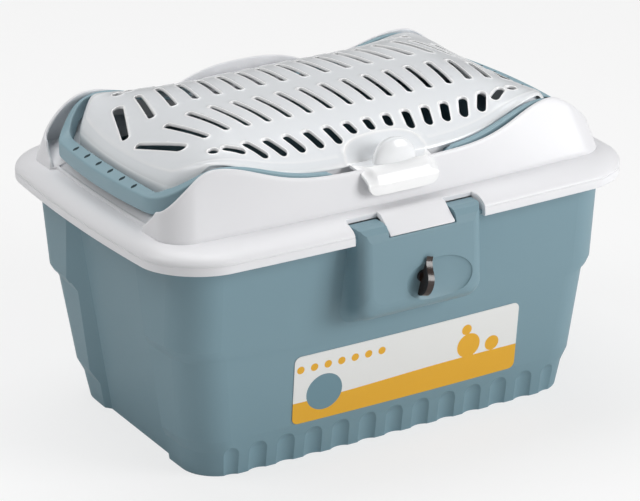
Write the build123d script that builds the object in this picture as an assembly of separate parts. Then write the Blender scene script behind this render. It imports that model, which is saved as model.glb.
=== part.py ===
import os
from math import atan2, cos, degrees, exp, hypot, radians, sin, sqrt

from build123d import *

os.makedirs("parts", exist_ok=True)

# Top-load pet carrier: a deep moulded tub, a clip-on lid with a wavy rim, a slotted domed door
# in the lid, two U-shaped carrying handles that fold down round the door, and a turn catch.
# Origin: centre of the flat underside.  X runs along the length, the catch faces -Y, Z is up.
# All lengths are in millimetres.

# Driving dimensions: the tub
tub_height = 176.0           # floor underside to the top of the lip that the lid sits on
tub_wall = 2.6
tub_floor = 3.2
foot_length = 315.0          # plinth, at the resting face
foot_width = 206.0
plinth_height = 20.0
plinth_flare_x = 2.5         # how much wider the plinth is at its top, each side
plinth_flare_y = 4.0
plinth_step_x = 6.5          # the wall stands this far proud of the plinth, each side
plinth_step_y = 3.6
wall_turn = 10.0             # height over which the wall turns in to the plinth
wall_lean_x = 6.0            # how much the end walls lean out up to the shoulder, each side
wall_lean_y = 21.9           # how much the long walls lean out, foot of the wall to lip
shoulder_low = 95.0          # below this the corner posts stand back from the upper band
shoulder_height = 10.0
shoulder_out = 5.1
tub_corner = 30.0
tub_bow_x = 5.0              # the walls bow out by this much at mid-length
tub_bow_y = 4.0
foot_bow = 1.5
lip_thickness = 3.0
lip_inset = 3.5              # lip edge to the outside of the lid's rim
band_proud = 1.0             # upper band of the wall
band_low_middle = 91.0       # lower edge of the band at mid-length
band_low_end = 105.0         # and at the corners
panel_half = 48.0            # recessed panel between the corner posts, half width at its bottom
panel_slope = 1.4            # its soft sides widen by this much for each millimetre outwards
panel_foot = 153.5           # distance of the panel from the middle, at the floor
panel_lean = 20.5            # how much it leans out by the lip
flute_pitch = 22.5
flute_count = 13
flute_radius = 12.0
flute_depth = 2.2
flute_top = 15.0             # from here the flutes end in a rounded fade

# Driving dimensions: the lid
lid_length = 396.0
lid_width = 297.0
lid_wall = 2.4
rim_drop = 4.0               # rim reaches this far below the lip's top
rim_height = 6.3             # upright band of the rim
rim_corner = 43.5
rim_bow_x = 7.7
rim_bow_y = 4.4
crease_height = 187.2        # crease between the flange and the dome
crease_tuck = 0.6            # the flange runs this far into the dome's wall
dome_length = 362.0          # at the crease
dome_width = 242.0
dome_lean_x = 9.0            # how much the dome leans in by the hump's height, each side
dome_lean_y = 7.0
dome_corner = 20.0
dome_bow_x = 2.0
dome_bow_low = 5.0           # long sides of the dome, bow at the crease
dome_bow_high = 16.0         # and at the hump's height
seat_gap = 0.3               # lid flange over the tub lip, and other resting seats

# Driving dimensions: the wavy edge of the lid, the same for the door's edge
dip_height = 213.5           # at the handle pivots and the middle
hump_height = 231.5          # at the four humps
hump_x = 136.0
hump_reach = 44.0            # how far the hump runs towards the middle
hump_round = 31.8            # radius of the hump's outer shoulder
hump_fall = 1.26             # slope of the edge beyond it
trough_height = 196.4        # ledge that the grips lie over
hood_rise = 15.5             # arch behind the door hinges, above the wavy edge
hood_half = 62.0

# Driving dimensions: the door
door_length = 323.0
door_width = 209.0
door_corner = 22.0
door_bow_x = 7.0
door_bow_y = 16.5
door_thickness = 2.2
ridge_height = 242.5
ridge_flat = 95.0            # the ridge is level this far out
ridge_drop = 27.0            # and falls this much by the end of the door
door_end_height = 209.5      # lower edge of the turned-down ends
slot_width = 5.0
slot_pitch_in = 18.1         # long slots, pitch beside the ridge
slot_pitch_out = 16.6        # and at their outer ends
slot_in = 10.0               # long slots run from this far off the ridge
slot_out = 55.0              # to here
slot_rank = 7                # long slots either side of the middle one
vent_width = 6.6             # short slots on the steep sides
vent_pitch_in = 16.1
vent_pitch_out = 14.9
vent_in = 72.5
vent_out = 90.0
vent_short = 85.0            # the ones over the latch and at the ends stop here
vent_rank = 7
vent_hole_x = 122.6          # round hole after the last short slot
vent_hole_y = 74.8
vent_hole_radius = 3.8
edge_power = 3.4             # how late the door's section turns down towards its long edges

# Driving dimensions: the handles
grip_height = 12.5
grip_half = 64.0             # half length of the grip's level part
handle_half = 178.6          # outer face of the grip, from the middle
handle_half_width = 112.0    # outer faces of the arms
handle_bow_x = 8.0
handle_bow_y = 20.0
handle_corner = 26.0
grip_inner = 164.9           # inner face of the grip
grip_inner_bow = 3.5
handle_gap = 2.2             # arm to the door's long edge
handle_seat = 0.9            # handle to the channel floor under it
arm_hump_x = 128.0           # the arm's upper edge has its own, smaller hump
arm_hump_height = 230.0
arm_fall = 46.0              # and comes down to the grip over this length
corner_rise = 14.0           # the grip's ends rise this much round the corner
corner_run = 24.0
pivot_x = 51.0
pivot_z = 207.0
arm_end_radius = 6.0
stud_root = 105.0            # inner face of the arm's round end
arm_outer = 110.2            # and its outer face
stud_radius = 3.0
stud_fit = 0.06              # radial clearance of every pin and stud
slit_count = 6
slit_pitch = 18.7
slit_x = 171.0
slit_length = 7.0
slit_width = 2.6
handle_wall = 2.4            # the grips are hollow underneath

# Driving dimensions: door hinge, lid hinge, catch and latch
door_axis_y = 107.0
door_axis_z = 217.0
door_knuckle_radius = 3.4
door_hinge_x = 22.0
door_knuckle_length = 11.4
door_lug_length = 6.0
pin_radius = 1.4
lid_axis_y = 144.0
lid_axis_z = 164.5
lid_knuckle_radius = 4.6
lid_hinge_x = 100.0
lid_knuckle_length = 16.0
lid_lug_length = 7.6
lid_pin_radius = 2.0
hinge_play = 0.3             # side play between knuckles and lugs
boss_half = 50.0             # catch boss on the tub's front
boss_front = 151.0
boss_back = 111.0            # the flanks have run out into the wall by here
boss_round = 9.0             # rounding of the front's upright edges
boss_flare = 10.0            # the flanks widen by this much towards the wall
boss_wall = 4.2
boss_low = 104.0
boss_rise = 14.0             # the underside comes up by this much towards the front
boss_corner = 9.0
boss_shoulder = 173.8        # top of the boss between its ears
boss_under_lid = 171.2       # the flare stays below the lid's rim
notch_half = 52.4            # the lid's notch round the boss
ear_height = 182.5
ear_back = 133.0
ear_inner = 27.5
tongue_gap = 2.6             # lid tongue to the boss's front wall
tongue_thickness = 2.4
catch_z = 139.0
catch_barrel = 4.4
catch_bar_length = 28.0
catch_bar_width = 6.2
catch_bar_thickness = 3.4
catch_play = 0.4
catch_lean = 15.0
dish_x = 13.0
dish_z = 135.0
fin_thickness = 5.2
latch_half = 27.5
latch_front = 129.0
latch_low = 197.0
latch_thickness = 2.5

# Driving dimensions: the label
label_length = 188.0
label_height = 55.0
label_centre_x = 7.0
label_low = 30.5
label_thickness = 0.4
label_gap = 0.1

FAR = 400.0                  # longer than the object: reach of every cutting block


def outline(length, width, corner, bow_x, bow_y):
    """Rounded rectangle, overall size length by width, whose sides bow out."""
    x = length / 2 - bow_x
    y = width / 2 - bow_y
    sides = [
        ThreePointArc((-x, -y), (0, -width / 2), (x, -y)),
        ThreePointArc((x, -y), (length / 2, 0), (x, y)),
        ThreePointArc((x, y), (0, width / 2), (-x, y)),
        ThreePointArc((-x, y), (-length / 2, 0), (-x, -y)),
    ]
    face = make_face(sides)
    return fillet(face.vertices(), corner)


def block(x0, x1, y0, y1, z0, z1):
    """Box between two corners."""
    return Pos((x0 + x1) / 2, (y0 + y1) / 2, (z0 + z1) / 2) * Box(x1 - x0, y1 - y0, z1 - z0)


def prism(face, z0, z1):
    """Plan outline pulled up from z0 to z1."""
    return extrude(Pos(0, 0, z0) * face, z1 - z0)


def along_y(points, half=FAR):
    """Closed side-on outline of (x, z) points, pulled both ways along Y."""
    face = Plane.XZ * make_face(Polyline(*points, close=True))
    return extrude(face, half, both=True)


def along_x(points, x0, x1):
    """Closed end-on outline of (y, z) points, pulled along X from x0 to x1."""
    face = Plane.YZ * make_face(Polyline(*points, close=True))
    return Pos(x0, 0, 0) * extrude(face, x1 - x0)


def rod_x(radius, x0, x1, y, z):
    """Round rod along X."""
    return Pos((x0 + x1) / 2, y, z) * Rot(0, 90, 0) * Cylinder(radius, x1 - x0)


def rod_y(radius, y0, y1, x, z):
    """Round rod along Y."""
    return Pos(x, (y0 + y1) / 2, z) * Rot(90, 0, 0) * Cylinder(radius, y1 - y0)


def mirrored(part, plane=Plane.YZ):
    """The part with its mirror image."""
    return part + mirror(part, about=plane)


# The tub

wall_foot = plinth_height + wall_turn
lip_under = tub_height - lip_thickness


def tub_sections(inset, grow=0.0):
    """Plan outlines of the tub's wall with their heights, moved in by an inset."""
    plinth_x = foot_length / 2 + plinth_flare_x
    plinth_y = foot_width / 2 + plinth_flare_y
    wall_x = plinth_x + plinth_step_x
    wall_y = plinth_y + plinth_step_y
    shoulder_top = shoulder_low + shoulder_height
    post_x = wall_x + wall_lean_x + shoulder_out

    def lean_y(height):
        return wall_y + wall_lean_y * (height - wall_foot) / (tub_height - wall_foot)

    rows = [
        (0.0, foot_length / 2, foot_width / 2, foot_bow, foot_bow),
        (plinth_height, plinth_x, plinth_y, foot_bow, foot_bow),
        (wall_foot, wall_x, wall_y, tub_bow_x, tub_bow_y),
        (shoulder_low, wall_x + wall_lean_x, lean_y(shoulder_low), tub_bow_x, tub_bow_y),
        (shoulder_top, post_x, lean_y(shoulder_top), tub_bow_x, tub_bow_y),
        (tub_height, post_x, lean_y(tub_height), tub_bow_x, tub_bow_y),
    ]
    sections = []
    for height, half_x, half_y, bow_x, bow_y in rows:
        long = 2 * (half_x - inset + grow)
        wide = 2 * (half_y - inset + grow)
        corner = tub_corner - inset + grow
        sections.append(Pos(0, 0, height) * outline(long, wide, corner, bow_x, bow_y))
    return sections


def end_panels(inset):
    """Soft-sided wedges outside the recessed end panels, moved in by an inset."""
    reach = 40.0
    sections = []
    for height in (-1.0, tub_height + 1):
        near = panel_foot + panel_lean * height / tub_height - inset
        half = panel_half + inset / 2
        wide = half + reach * panel_slope
        points = [(near, -half), (near + reach, -wide), (near + reach, wide), (near, half)]
        sections.append(Pos(0, 0, height) * make_face(Polyline(*points, close=True)))
    return mirrored(loft(sections, ruled=True))


def band_arch(drop):
    """Everything below the arched lower edge of the upper band."""
    arch = ThreePointArc((-FAR / 2, band_low_end - drop), (0, band_low_middle - drop),
                         (FAR / 2, band_low_end - drop))
    sides = Polyline(arch @ 1, (FAR / 2, -FAR), (-FAR / 2, -FAR), arch @ 0)
    return extrude(Plane.XZ * make_face([arch, sides]), FAR, both=True)


def flutes():
    """Upright scallops along the plinth's long sides."""
    lean = degrees(atan2(plinth_flare_y, plinth_height))
    tool = Cylinder(flute_radius, 2 * flute_top) + Pos(0, 0, flute_top) * Sphere(flute_radius)
    cuts = []
    for place in range(flute_count):
        x = (place - (flute_count - 1) / 2) * flute_pitch
        bow = foot_bow * (x / (foot_length / 2)) ** 2
        y = foot_width / 2 - bow + flute_radius - flute_depth
        cuts.append(Pos(x, y, 0) * Rot(-lean, 0, 0) * tool)
        cuts.append(Pos(x, -y, 0) * Rot(lean, 0, 0) * tool)
    return cuts


def boss_shape():
    """Catch boss on the front wall: flanks that flare into the wall, and two ears on top."""
    high = ear_height + 5
    sections = []
    for back in (0.0, 1.5, 5.0, 12.0, 24.0, boss_front - boss_back):
        share = back / (boss_front - boss_back)
        turn = boss_round - sqrt(boss_round ** 2 - max(boss_round - back, 0.0) ** 2)
        half = boss_half - turn + boss_flare * share ** 3
        low = boss_low + boss_rise * (1 - share) ** 2 + 0.8 * turn
        face = Pos(0, (low + high) / 2) * Rectangle(2 * half, high - low)
        face = fillet(face.vertices().group_by(Axis.Y)[0], boss_corner + 7.0 * share)
        sections.append(Plane.XZ.offset(boss_front - back) * face)
    swell = loft(sections)
    side = [(-boss_back, 90), (-boss_front - 9, 90), (-boss_front - 9, ear_height - 10.5),
            (-boss_front, ear_height - 10.5), (-boss_front + 1, ear_height - 4.5),
            (-boss_front + 4, ear_height - 1), (-boss_front + 9, ear_height), (-ear_back, ear_height),
            (-ear_back, tub_height - 1), (-boss_back, tub_height - 1)]
    swell = swell & along_x(side, -FAR, FAR)
    core = swell & block(-boss_half - 0.8, boss_half + 0.8, -FAR, 0, 0, FAR)
    skirt = swell & block(-FAR, FAR, -FAR, 0, 0, boss_under_lid)
    return core + skirt


def make_tub():
    body = loft(tub_sections(0.0), ruled=True)
    band = loft(tub_sections(0.0, grow=band_proud)[2:], ruled=True) - band_arch(0.0)
    body = body + band
    body = body - end_panels(0.0)
    body = body - flutes()
    lip = outline(lid_length - 2 * lip_inset, lid_width - 2 * lip_inset, rim_corner - lip_inset,
                  rim_bow_x, rim_bow_y)
    body = body + prism(lip, lip_under, tub_height)
    body = body + boss_shape()
    ears_apart = block(-ear_inner, ear_inner, -FAR, -foot_width / 2, boss_shoulder, FAR)
    body = body - ears_apart
    for lug in lid_lugs:
        body = body + lug
    hollow = loft(tub_sections(tub_wall), ruled=True) - end_panels(tub_wall)
    low_inside = outline(foot_length - 2 * (tub_wall + flute_depth), foot_width - 2 * (tub_wall + flute_depth),
                         tub_corner - tub_wall, foot_bow, foot_bow)
    hollow = hollow - (prism(outline(FAR, FAR, tub_corner, foot_bow, foot_bow), -1, plinth_height)
                       - prism(low_inside, -2, plinth_height + 1))
    hollow = hollow & block(-FAR, FAR, -FAR, FAR, tub_floor, FAR)
    body = body - hollow
    inner_half = ear_inner - 0.5
    pocket_half = boss_half - boss_wall - 3
    pocket_low = catch_z - catch_bar_length / 2 - 1.5
    pocket = block(-pocket_half, pocket_half, -boss_front + boss_wall, -foot_width / 2 - 6, pocket_low, lip_under - 4)
    mouth = block(-inner_half, inner_half, -boss_front + boss_wall, -foot_width / 2, lip_under - 6, FAR)
    body = body - pocket - mouth
    dish = scale(Sphere(1), by=(27.0, 3.2, 16.5))
    body = body - Pos(dish_x, -boss_front, dish_z) * dish
    body = body - rod_y(catch_barrel + stud_fit, -boss_front - 2, -boss_front + boss_wall + 1, 0, catch_z)
    return body


def lid_hinge_parts():
    """Tub lugs, lid knuckles and pins of the rear hinge, as three lists."""
    lugs = []
    knuckles = []
    pins = []
    reach = foot_width / 2 + plinth_flare_y + plinth_step_y + wall_lean_y - 6
    half = lid_knuckle_length / 2
    top = lid_axis_z + lid_knuckle_radius - 1.5
    for side in (-1, 1):
        mid = side * lid_hinge_x
        bore = rod_x(lid_pin_radius + stud_fit, mid - 2 * lid_knuckle_length, mid + 2 * lid_knuckle_length,
                     lid_axis_y, lid_axis_z)
        for end in (-1, 1):
            near = mid + end * (half + hinge_play)
            far = near + end * lid_lug_length
            x0, x1 = sorted((near, far))
            lug = rod_x(lid_knuckle_radius, x0, x1, lid_axis_y, lid_axis_z)
            web = along_x([(reach, lid_axis_z - 16), (lid_axis_y - 2, lid_axis_z - lid_knuckle_radius),
                           (lid_axis_y, lid_axis_z), (lid_axis_y - 1, top), (reach, top)], x0, x1)
            lugs.append(lug + web - bore)
        knuckle = rod_x(lid_knuckle_radius, mid - half, mid + half, lid_axis_y, lid_axis_z)
        web = block(mid - half, mid + half, lid_axis_y - 2.4, lid_axis_y + 3.9, lid_axis_z,
                    tub_height - rim_drop + 1)
        knuckles.append(knuckle + web - bore)
        span = half + hinge_play + lid_lug_length - 0.5
        pins.append(rod_x(lid_pin_radius, mid - span, mid + span, lid_axis_y, lid_axis_z))
    return lugs, knuckles, pins


lid_lugs, lid_knuckles, lid_pins = lid_hinge_parts()
tub = make_tub()

# The lid

lid_low = tub_height - rim_drop
band_top = lid_low + rim_height
shelf_thickness = 2.2
grip_low = trough_height + handle_seat
grip_top = grip_low + grip_height
stations = [-146.0 + 11.68 * step for step in range(26)]


def edge_height(x):
    """Height of the lid's wavy edge: a dip in the middle and a hump near each end."""
    past = abs(x) - hump_x
    if past < 0:
        return dip_height + (hump_height - dip_height) * exp(-(past / hump_reach) ** 2)
    return hump_height + hump_round - hypot(hump_round, hump_fall * past)


def hood(x):
    """How far the arch behind the door's hinges stands above the wavy edge."""
    if abs(x) >= hood_half:
        return 0.0
    return hood_rise * (1 - (abs(x) / hood_half) ** 2.6)


def above(height_at, y_side):
    """Everything above a wavy edge given as a height for each x, on one side or both."""
    reach = [-180.0 + 10.0 * step for step in range(37)]
    edge = Spline(*[(x, height_at(x)) for x in reach])
    frame = Polyline(edge @ 1, (reach[-1], FAR), (reach[0], FAR), edge @ 0)
    face = Plane.XZ * make_face([edge, frame])
    return extrude(face, -y_side * FAR) if y_side else extrude(face, FAR, both=True)


def arm_top(x):
    """Height of a handle's upper edge: a hump like the lid's, then down to the level grip."""
    past = abs(x) - arm_hump_x
    if past < 0:
        return dip_height + (arm_hump_height - dip_height) * exp(-(past / hump_reach) ** 2)
    share = min(past / arm_fall, 1.0) ** 1.25
    return arm_hump_height - (arm_hump_height - grip_top) * (1 - cos(radians(180 * share))) / 2


def channel_line(drop):
    """Side-on line of the channel floor that the handles lie in, lowered by a drop."""
    wave = Spline(*[(x, arm_top(x) - grip_height - handle_seat - drop) for x in stations])
    end = wave @ 1
    right = Polyline(end, (157.5, trough_height - drop), (168, trough_height - drop), (184, 186.0 - drop))
    left = Polyline((-184, 186.0 - drop), (-168, trough_height - drop), (-157.5, trough_height - drop), wave @ 0)
    return [left, wave, right]


def above_channel(drop):
    """Everything above the channel floor, lowered by a drop."""
    line = channel_line(drop)
    frame = Polyline(line[2] @ 1, (184, FAR), (-184, FAR), line[0] @ 0)
    return extrude(Plane.XZ * make_face(line + [frame]), FAR, both=True)


def dome(inset, low):
    """Leaning wall of the lid above its flange, moved in by an inset, from a low level up."""
    top = hump_height + 8
    lean = (top - crease_height) / (hump_height - crease_height)
    rows = [(low, 0.0, dome_bow_low), (crease_height, 0.0, dome_bow_low), (top, lean, dome_bow_high)]
    sections = []
    for height, share, bow in rows:
        long = dome_length - 2 * (share * dome_lean_x + inset)
        wide = dome_width - 2 * (share * dome_lean_y + inset)
        sections.append(Pos(0, 0, height) * outline(long, wide, dome_corner - inset, dome_bow_x, bow))
    return loft(sections, ruled=True)


def flange(inset, low, high):
    """Rounded flange that runs from the rim's outline in to the dome's, moved in by an inset."""
    sections = []
    for turn in (0, 25, 50, 72, 90):
        run = 1 - cos(radians(turn))
        rise = sin(radians(turn))
        long = (lid_length - 2 * inset) * (1 - run) + (dome_length - 2 * crease_tuck) * run
        wide = (lid_width - 2 * inset) * (1 - run) + (dome_width - 2 * crease_tuck) * run
        corner = (rim_corner - inset) * (1 - run) + (dome_corner - crease_tuck) * run
        bow_x = rim_bow_x * (1 - run) + dome_bow_x * run
        bow_y = rim_bow_y * (1 - run) + dome_bow_low * run
        face = outline(long, wide, corner, bow_x, bow_y)
        sections.append(Pos(0, 0, low + rise * (high - low)) * face)
    return loft(sections)


def rim_outline(inset):
    return outline(lid_length - 2 * inset, lid_width - 2 * inset, rim_corner - inset, rim_bow_x, rim_bow_y)


def door_outline(inset):
    return outline(door_length - 2 * inset, door_width - 2 * inset, door_corner - inset, door_bow_x, door_bow_y)


def tongue():
    """Lid tongue that slopes down between the boss's ears and forks round the catch."""
    leg_front = -boss_front + boss_wall + tongue_gap
    leg_back = leg_front + tongue_thickness
    foot = catch_z - 11
    nose = -boss_front + 0.6
    rest = boss_shoulder + seat_gap
    side = [(-131, crease_height), (-137, crease_height - 0.6), (nose, rest + 1.2), (nose, rest),
            (leg_front, rest), (leg_front, foot), (leg_back, foot), (leg_back, boss_shoulder - 1),
            (-136, crease_height - 4.4), (-131, crease_height - 3)]
    half = ear_inner - 1.2
    plate = along_x(side, -half, half)
    fork = block(-6.2, 6.2, -FAR, -137, foot - 1, catch_z + 8)
    ledges = mirrored(block(12.6, 20, leg_back - 0.5, leg_back + 3.4, foot, foot + 3))
    return plate - fork + ledges


def make_lid():
    shell = prism(rim_outline(0.0), lid_low, band_top) + flange(0.0, band_top, crease_height)
    shell = shell + dome(0.0, crease_height - 2)
    seat = tub_height + seat_gap
    hollow = prism(rim_outline(lid_wall), lid_low - 1, seat) + flange(lid_wall, seat, crease_height - lid_wall)
    inside = dome(lid_wall, tub_height)
    shell = shell - hollow - inside
    above_edge = above(edge_height, -1) + above(lambda x: edge_height(x) + hood(x), 1)
    wing = [(72, 150), (72, crease_height), (77, 195), (84, 204), (92, 213), (104, 230), (104, FAR)]
    end_gap = wing + [(-y, z) for y, z in reversed(wing)]
    end_cut = mirrored(along_x(end_gap, 150, FAR)) & above_channel(0.0)
    shell = shell - above_edge - end_cut
    shelf = (above_channel(shelf_thickness) - above_channel(0.0)) & dome(1.0, tub_height)
    opening = prism(door_outline(5.5), 0, FAR)
    rib = prism(door_outline(3.3), 180, FAR) & above_channel(shelf_thickness)
    line = Spline(*[(x, edge_height(x) - 1.6) for x in stations[1:-1]])
    frame = Polyline(line @ 1, (152, 211), (170, 211), (170, FAR), (-170, FAR), (-170, 211), (-152, 211), line @ 0)
    rib = rib - extrude(Plane.XZ * make_face([line, frame]), FAR, both=True)
    shell = shell + ((shelf + rib) - opening)
    # bearings for the handle studs
    ear = arm_end_radius - 0.8
    bearing = rod_y(ear, 97.2, stud_root - 0.6, pivot_x, pivot_z)
    bearing = bearing + block(pivot_x - ear, pivot_x + ear, 97.2, stud_root - 0.6, 199.0, pivot_z)
    bore = rod_y(stud_radius + stud_fit, 90, 110, pivot_x, pivot_z)
    for sx in (0, 1):
        for sy in (0, 1):
            one = bearing
            hole = bore
            if sx:
                one = mirror(one, about=Plane.YZ)
                hole = mirror(hole, about=Plane.YZ)
            if sy:
                one = mirror(one, about=Plane.XZ)
                hole = mirror(hole, about=Plane.XZ)
            shell = shell + one - hole
    # hinge lugs for the door
    for side in (-1, 1):
        for end in (-1, 1):
            near = side * door_hinge_x + end * (door_knuckle_length / 2 + hinge_play)
            x0, x1 = sorted((near, near + end * door_lug_length))
            lug = rod_x(door_knuckle_radius, x0, x1, door_axis_y, door_axis_z)
            low = door_axis_z - door_knuckle_radius
            high = door_axis_z + door_knuckle_radius
            shell = shell + lug + block(x0, x1, door_axis_y, 114.4, low, high)
    shell = shell - rod_x(pin_radius + stud_fit, -40, 40, door_axis_y, door_axis_z)
    # notch for the boss's ears, with the tongue between them
    notch = block(-notch_half, notch_half, -FAR, -ear_back + 0.8, 0, FAR)
    shell = shell - notch + tongue()
    for knuckle in lid_knuckles:
        shell = shell + knuckle
    return shell


lid = make_lid()

# The door and its latch


def ridge(x):
    """Height of the door along its middle line."""
    past = max((abs(x) - ridge_flat) / (door_length / 2 - ridge_flat), 0.0)
    return ridge_height - ridge_drop * past ** 1.75


def door_half(x):
    return door_width / 2 - door_bow_y * (x / (door_length / 2 - door_bow_x)) ** 2


def door_z(x, y):
    """Height of the door's outer face."""
    edge = edge_height(x) + 1.0
    share = min(abs(y) / door_half(x), 1.03)
    return edge + (ridge(x) - edge) * (1 - share ** edge_power)


def door_section(x):
    shares = (-1.03, -0.93, -0.8, -0.6, -0.3, 0, 0.3, 0.6, 0.8, 0.93, 1.03)
    points = [(share * door_half(x), door_z(x, share * door_half(x))) for share in shares]
    top = Spline(*points)
    low = Spline(*[(y, z - door_thickness) for y, z in points])
    near = Line(top @ 0, low @ 0)
    far = Line(top @ 1, low @ 1)
    return Pos(x, 0, 0) * (Plane.YZ * make_face([top, near, low, far]))


def slot(x0, y0, x1, y1, width):
    """Upright cutter for a round-ended slot between two end points."""
    run = hypot(x1 - x0, y1 - y0)
    shape = SlotCenterToCenter(run - width, width, rotation=degrees(atan2(y1 - y0, x1 - x0)))
    return prism(Pos((x0 + x1) / 2, (y0 + y1) / 2, 0) * shape, 195, 260)


def door_slots():
    cuts = []
    for side in (-1, 1):
        for rank in range(-slot_rank, slot_rank + 1):
            cuts.append(slot(rank * slot_pitch_in, side * slot_in, rank * slot_pitch_out,
                             side * slot_out, slot_width))
        for rank in range(-vent_rank, vent_rank + 1):
            end = vent_short if abs(rank) in (0, 1, vent_rank) else vent_out
            cuts.append(slot(rank * vent_pitch_in, side * vent_in, rank * vent_pitch_out,
                             side * end, vent_width))
        for end in (-1, 1):
            cuts.append(Pos(end * vent_hole_x, side * vent_hole_y, 220) * Cylinder(vent_hole_radius, 60))
            wedge = make_face(Polyline((146, 8), (151.5, 10), (138.2, 52.5), (130.6, 50), close=True))
            wedge = fillet(wedge.vertices(), 2.0)
            wedge = wedge if end > 0 else mirror(wedge, about=Plane.YZ)
            wedge = wedge if side > 0 else mirror(wedge, about=Plane.XZ)
            cuts.append(prism(wedge, 195, 260))
    return cuts


hump_stations = [0, 35, 70, 95, 115, 130, 142, 152, door_length / 2 + 1.5]
door_stations = [-x for x in hump_stations[:0:-1]] + hump_stations
skin = loft([door_section(x) for x in door_stations]) & prism(door_outline(0.0), 0, FAR)


def make_door():
    end_rim = prism(door_outline(0.0), door_end_height, 216.0) - prism(door_outline(door_thickness), 0, FAR)
    end_rim = end_rim & mirrored(block(door_length / 2 - 12, FAR, -66, 66, 0, FAR))
    door = (skin + end_rim) - door_slots() + latch_tab()
    for side in (-1, 1):
        mid = side * door_hinge_x
        x0 = mid - door_knuckle_length / 2
        x1 = mid + door_knuckle_length / 2
        knuckle = rod_x(door_knuckle_radius, x0, x1, door_axis_y, door_axis_z)
        neck = [(door_axis_y, door_axis_z + 3.2), (door_axis_y - 6, door_axis_z + 1.4), (door_axis_y - 7, 216.6),
                (door_axis_y - 2.6, 212.9), (door_axis_y + 0.6, door_axis_z - 3.2)]
        door = door + knuckle + along_x(neck, x0, x1)
        for end in (-1, 1):
            near = mid + end * (door_knuckle_length / 2)
            a, b = sorted((near, near + end * (door_lug_length + 2 * hinge_play)))
            door = door - block(a, b, door_axis_y - 5, FAR, 0, FAR)
    return door - rod_x(pin_radius + stud_fit, -40, 40, door_axis_y, door_axis_z)


def latch_tab():
    """Pull tab over the lid's front edge, with a half-dome thumb rest behind it."""
    side = [(-102, 214.8), (-102, 217.2), (-124.5, 219.4), (-latch_front, 216), (-latch_front, latch_low),
            (-latch_front + latch_thickness, latch_low), (-latch_front + latch_thickness, 215),
            (-123.5, 216.6), (-112, 214.8)]
    tab = along_x(side, -latch_half, latch_half)
    face = Pos(0, (latch_low + 220) / 2) * Rectangle(2 * latch_half, 220 - latch_low)
    face = fillet(face.vertices().group_by(Axis.Y)[0], 8.0)
    tab = tab & extrude(Plane.XZ * face, 140)
    ball = (Pos(0, -111, 215.5) * (Sphere(15.5) - Sphere(13.5))) & block(-FAR, FAR, -FAR, FAR, 215.2, FAR)
    return tab + ball


door = make_door()
door_pins = []
for side in (-1, 1):
    span = door_knuckle_length / 2 + hinge_play + door_lug_length - 0.5
    mid = side * door_hinge_x
    door_pins.append(rod_x(pin_radius, mid - span, mid + span, door_axis_y, door_axis_z))

# The handles


def handle_ring(inset):
    """Plan outlines of the handles' outer and inner walls, moved into them by an inset."""
    outer = outline(2 * (handle_half - inset), 2 * (handle_half_width - inset), handle_corner - inset,
                    handle_bow_x, handle_bow_y)
    inner = outline(2 * (grip_inner + inset), door_width + 2 * (handle_gap + inset), door_corner + inset,
                    grip_inner_bow, door_bow_y)
    return outer, inner


def grip_ramp():
    """What lies above the grip as it rises from its level part into the corners."""
    steps = [4.0 * step for step in range(10)]
    rise = [(grip_half + run, grip_top + corner_rise * (run / corner_run) ** 1.8) for run in steps]
    right = Spline(*rise)
    left = Spline(*[(-y, z) for y, z in reversed(rise)])
    level = Line(left @ 1, right @ 0)
    frame = Polyline(right @ 1, (rise[-1][0], FAR), (-rise[-1][0], FAR), left @ 0)
    face = Plane.YZ * make_face([left, level, right, frame])
    return Pos(148, 0, 0) * extrude(face, FAR)


def make_handle():
    """Right-hand handle: grip, two arms and their studs."""
    outer, inner = handle_ring(0.0)
    ring = prism(outer, 190, 245) - prism(inner, 180, 250)
    xs = [pivot_x + 8.6 * step for step in range(16)]
    top = Spline(*[(x, arm_top(x)) for x in xs])
    low = Spline(*[(x, arm_top(x) - grip_height) for x in xs if x < 147])
    frame = Polyline(top @ 1, (190, grip_top), (190, grip_low), (157.5, grip_low), low @ 1)
    start = Line(low @ 0, top @ 0)
    side = extrude(Plane.XZ * make_face([top, frame, low, start]), FAR, both=True)
    body = (ring & side) - grip_ramp()
    outer, inner = handle_ring(handle_wall)
    trench = prism(outer, 180, grip_top - handle_wall) - prism(inner, 170, 250)
    body = body - (trench & block(120, FAR, -58, 58, 180, grip_top - handle_wall))
    for s in (-1, 1):
        y0, y1 = sorted((s * stud_root, s * arm_outer))
        body = body + rod_y(arm_end_radius, y0, y1, pivot_x, pivot_z)
        y0, y1 = sorted((s * 97.6, s * (stud_root + 0.4)))
        body = body + rod_y(stud_radius, y0, y1, pivot_x, pivot_z)
    for place in range(slit_count):
        y = (place - (slit_count - 1) / 2) * slit_pitch
        body = body - prism(Pos(slit_x, y, 0) * SlotOverall(slit_length, slit_width), 190, 250)
    return body


handle_right = make_handle()
handle_left = mirror(handle_right, about=Plane.YZ)

# The turn catch and the label


def make_catch():
    front = -boss_front - catch_play
    back = -boss_front + boss_wall + tongue_gap + tongue_thickness + catch_play
    barrel = rod_y(catch_barrel, front, back, 0, catch_z)
    bar = block(-catch_bar_width / 2, catch_bar_width / 2, back, back + catch_bar_thickness,
                catch_z - catch_bar_length / 2, catch_z + catch_bar_length / 2)
    belly = Spline((front, -13), (front - 5.6, -12), (front - 9.6, -6), (front - 8.6, 2), (front - 4.1, 8),
                   (front - 1.6, 15.5))
    neck = Spline(belly @ 1, (front - 0.8, 8), (front, 4))
    root = Line(neck @ 1, belly @ 0)
    fin = extrude(Plane.YZ * make_face([belly, neck, root]), fin_thickness / 2, both=True)
    return barrel + bar + Pos(0, 0, catch_z) * Rot(0, catch_lean, 0) * fin


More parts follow.
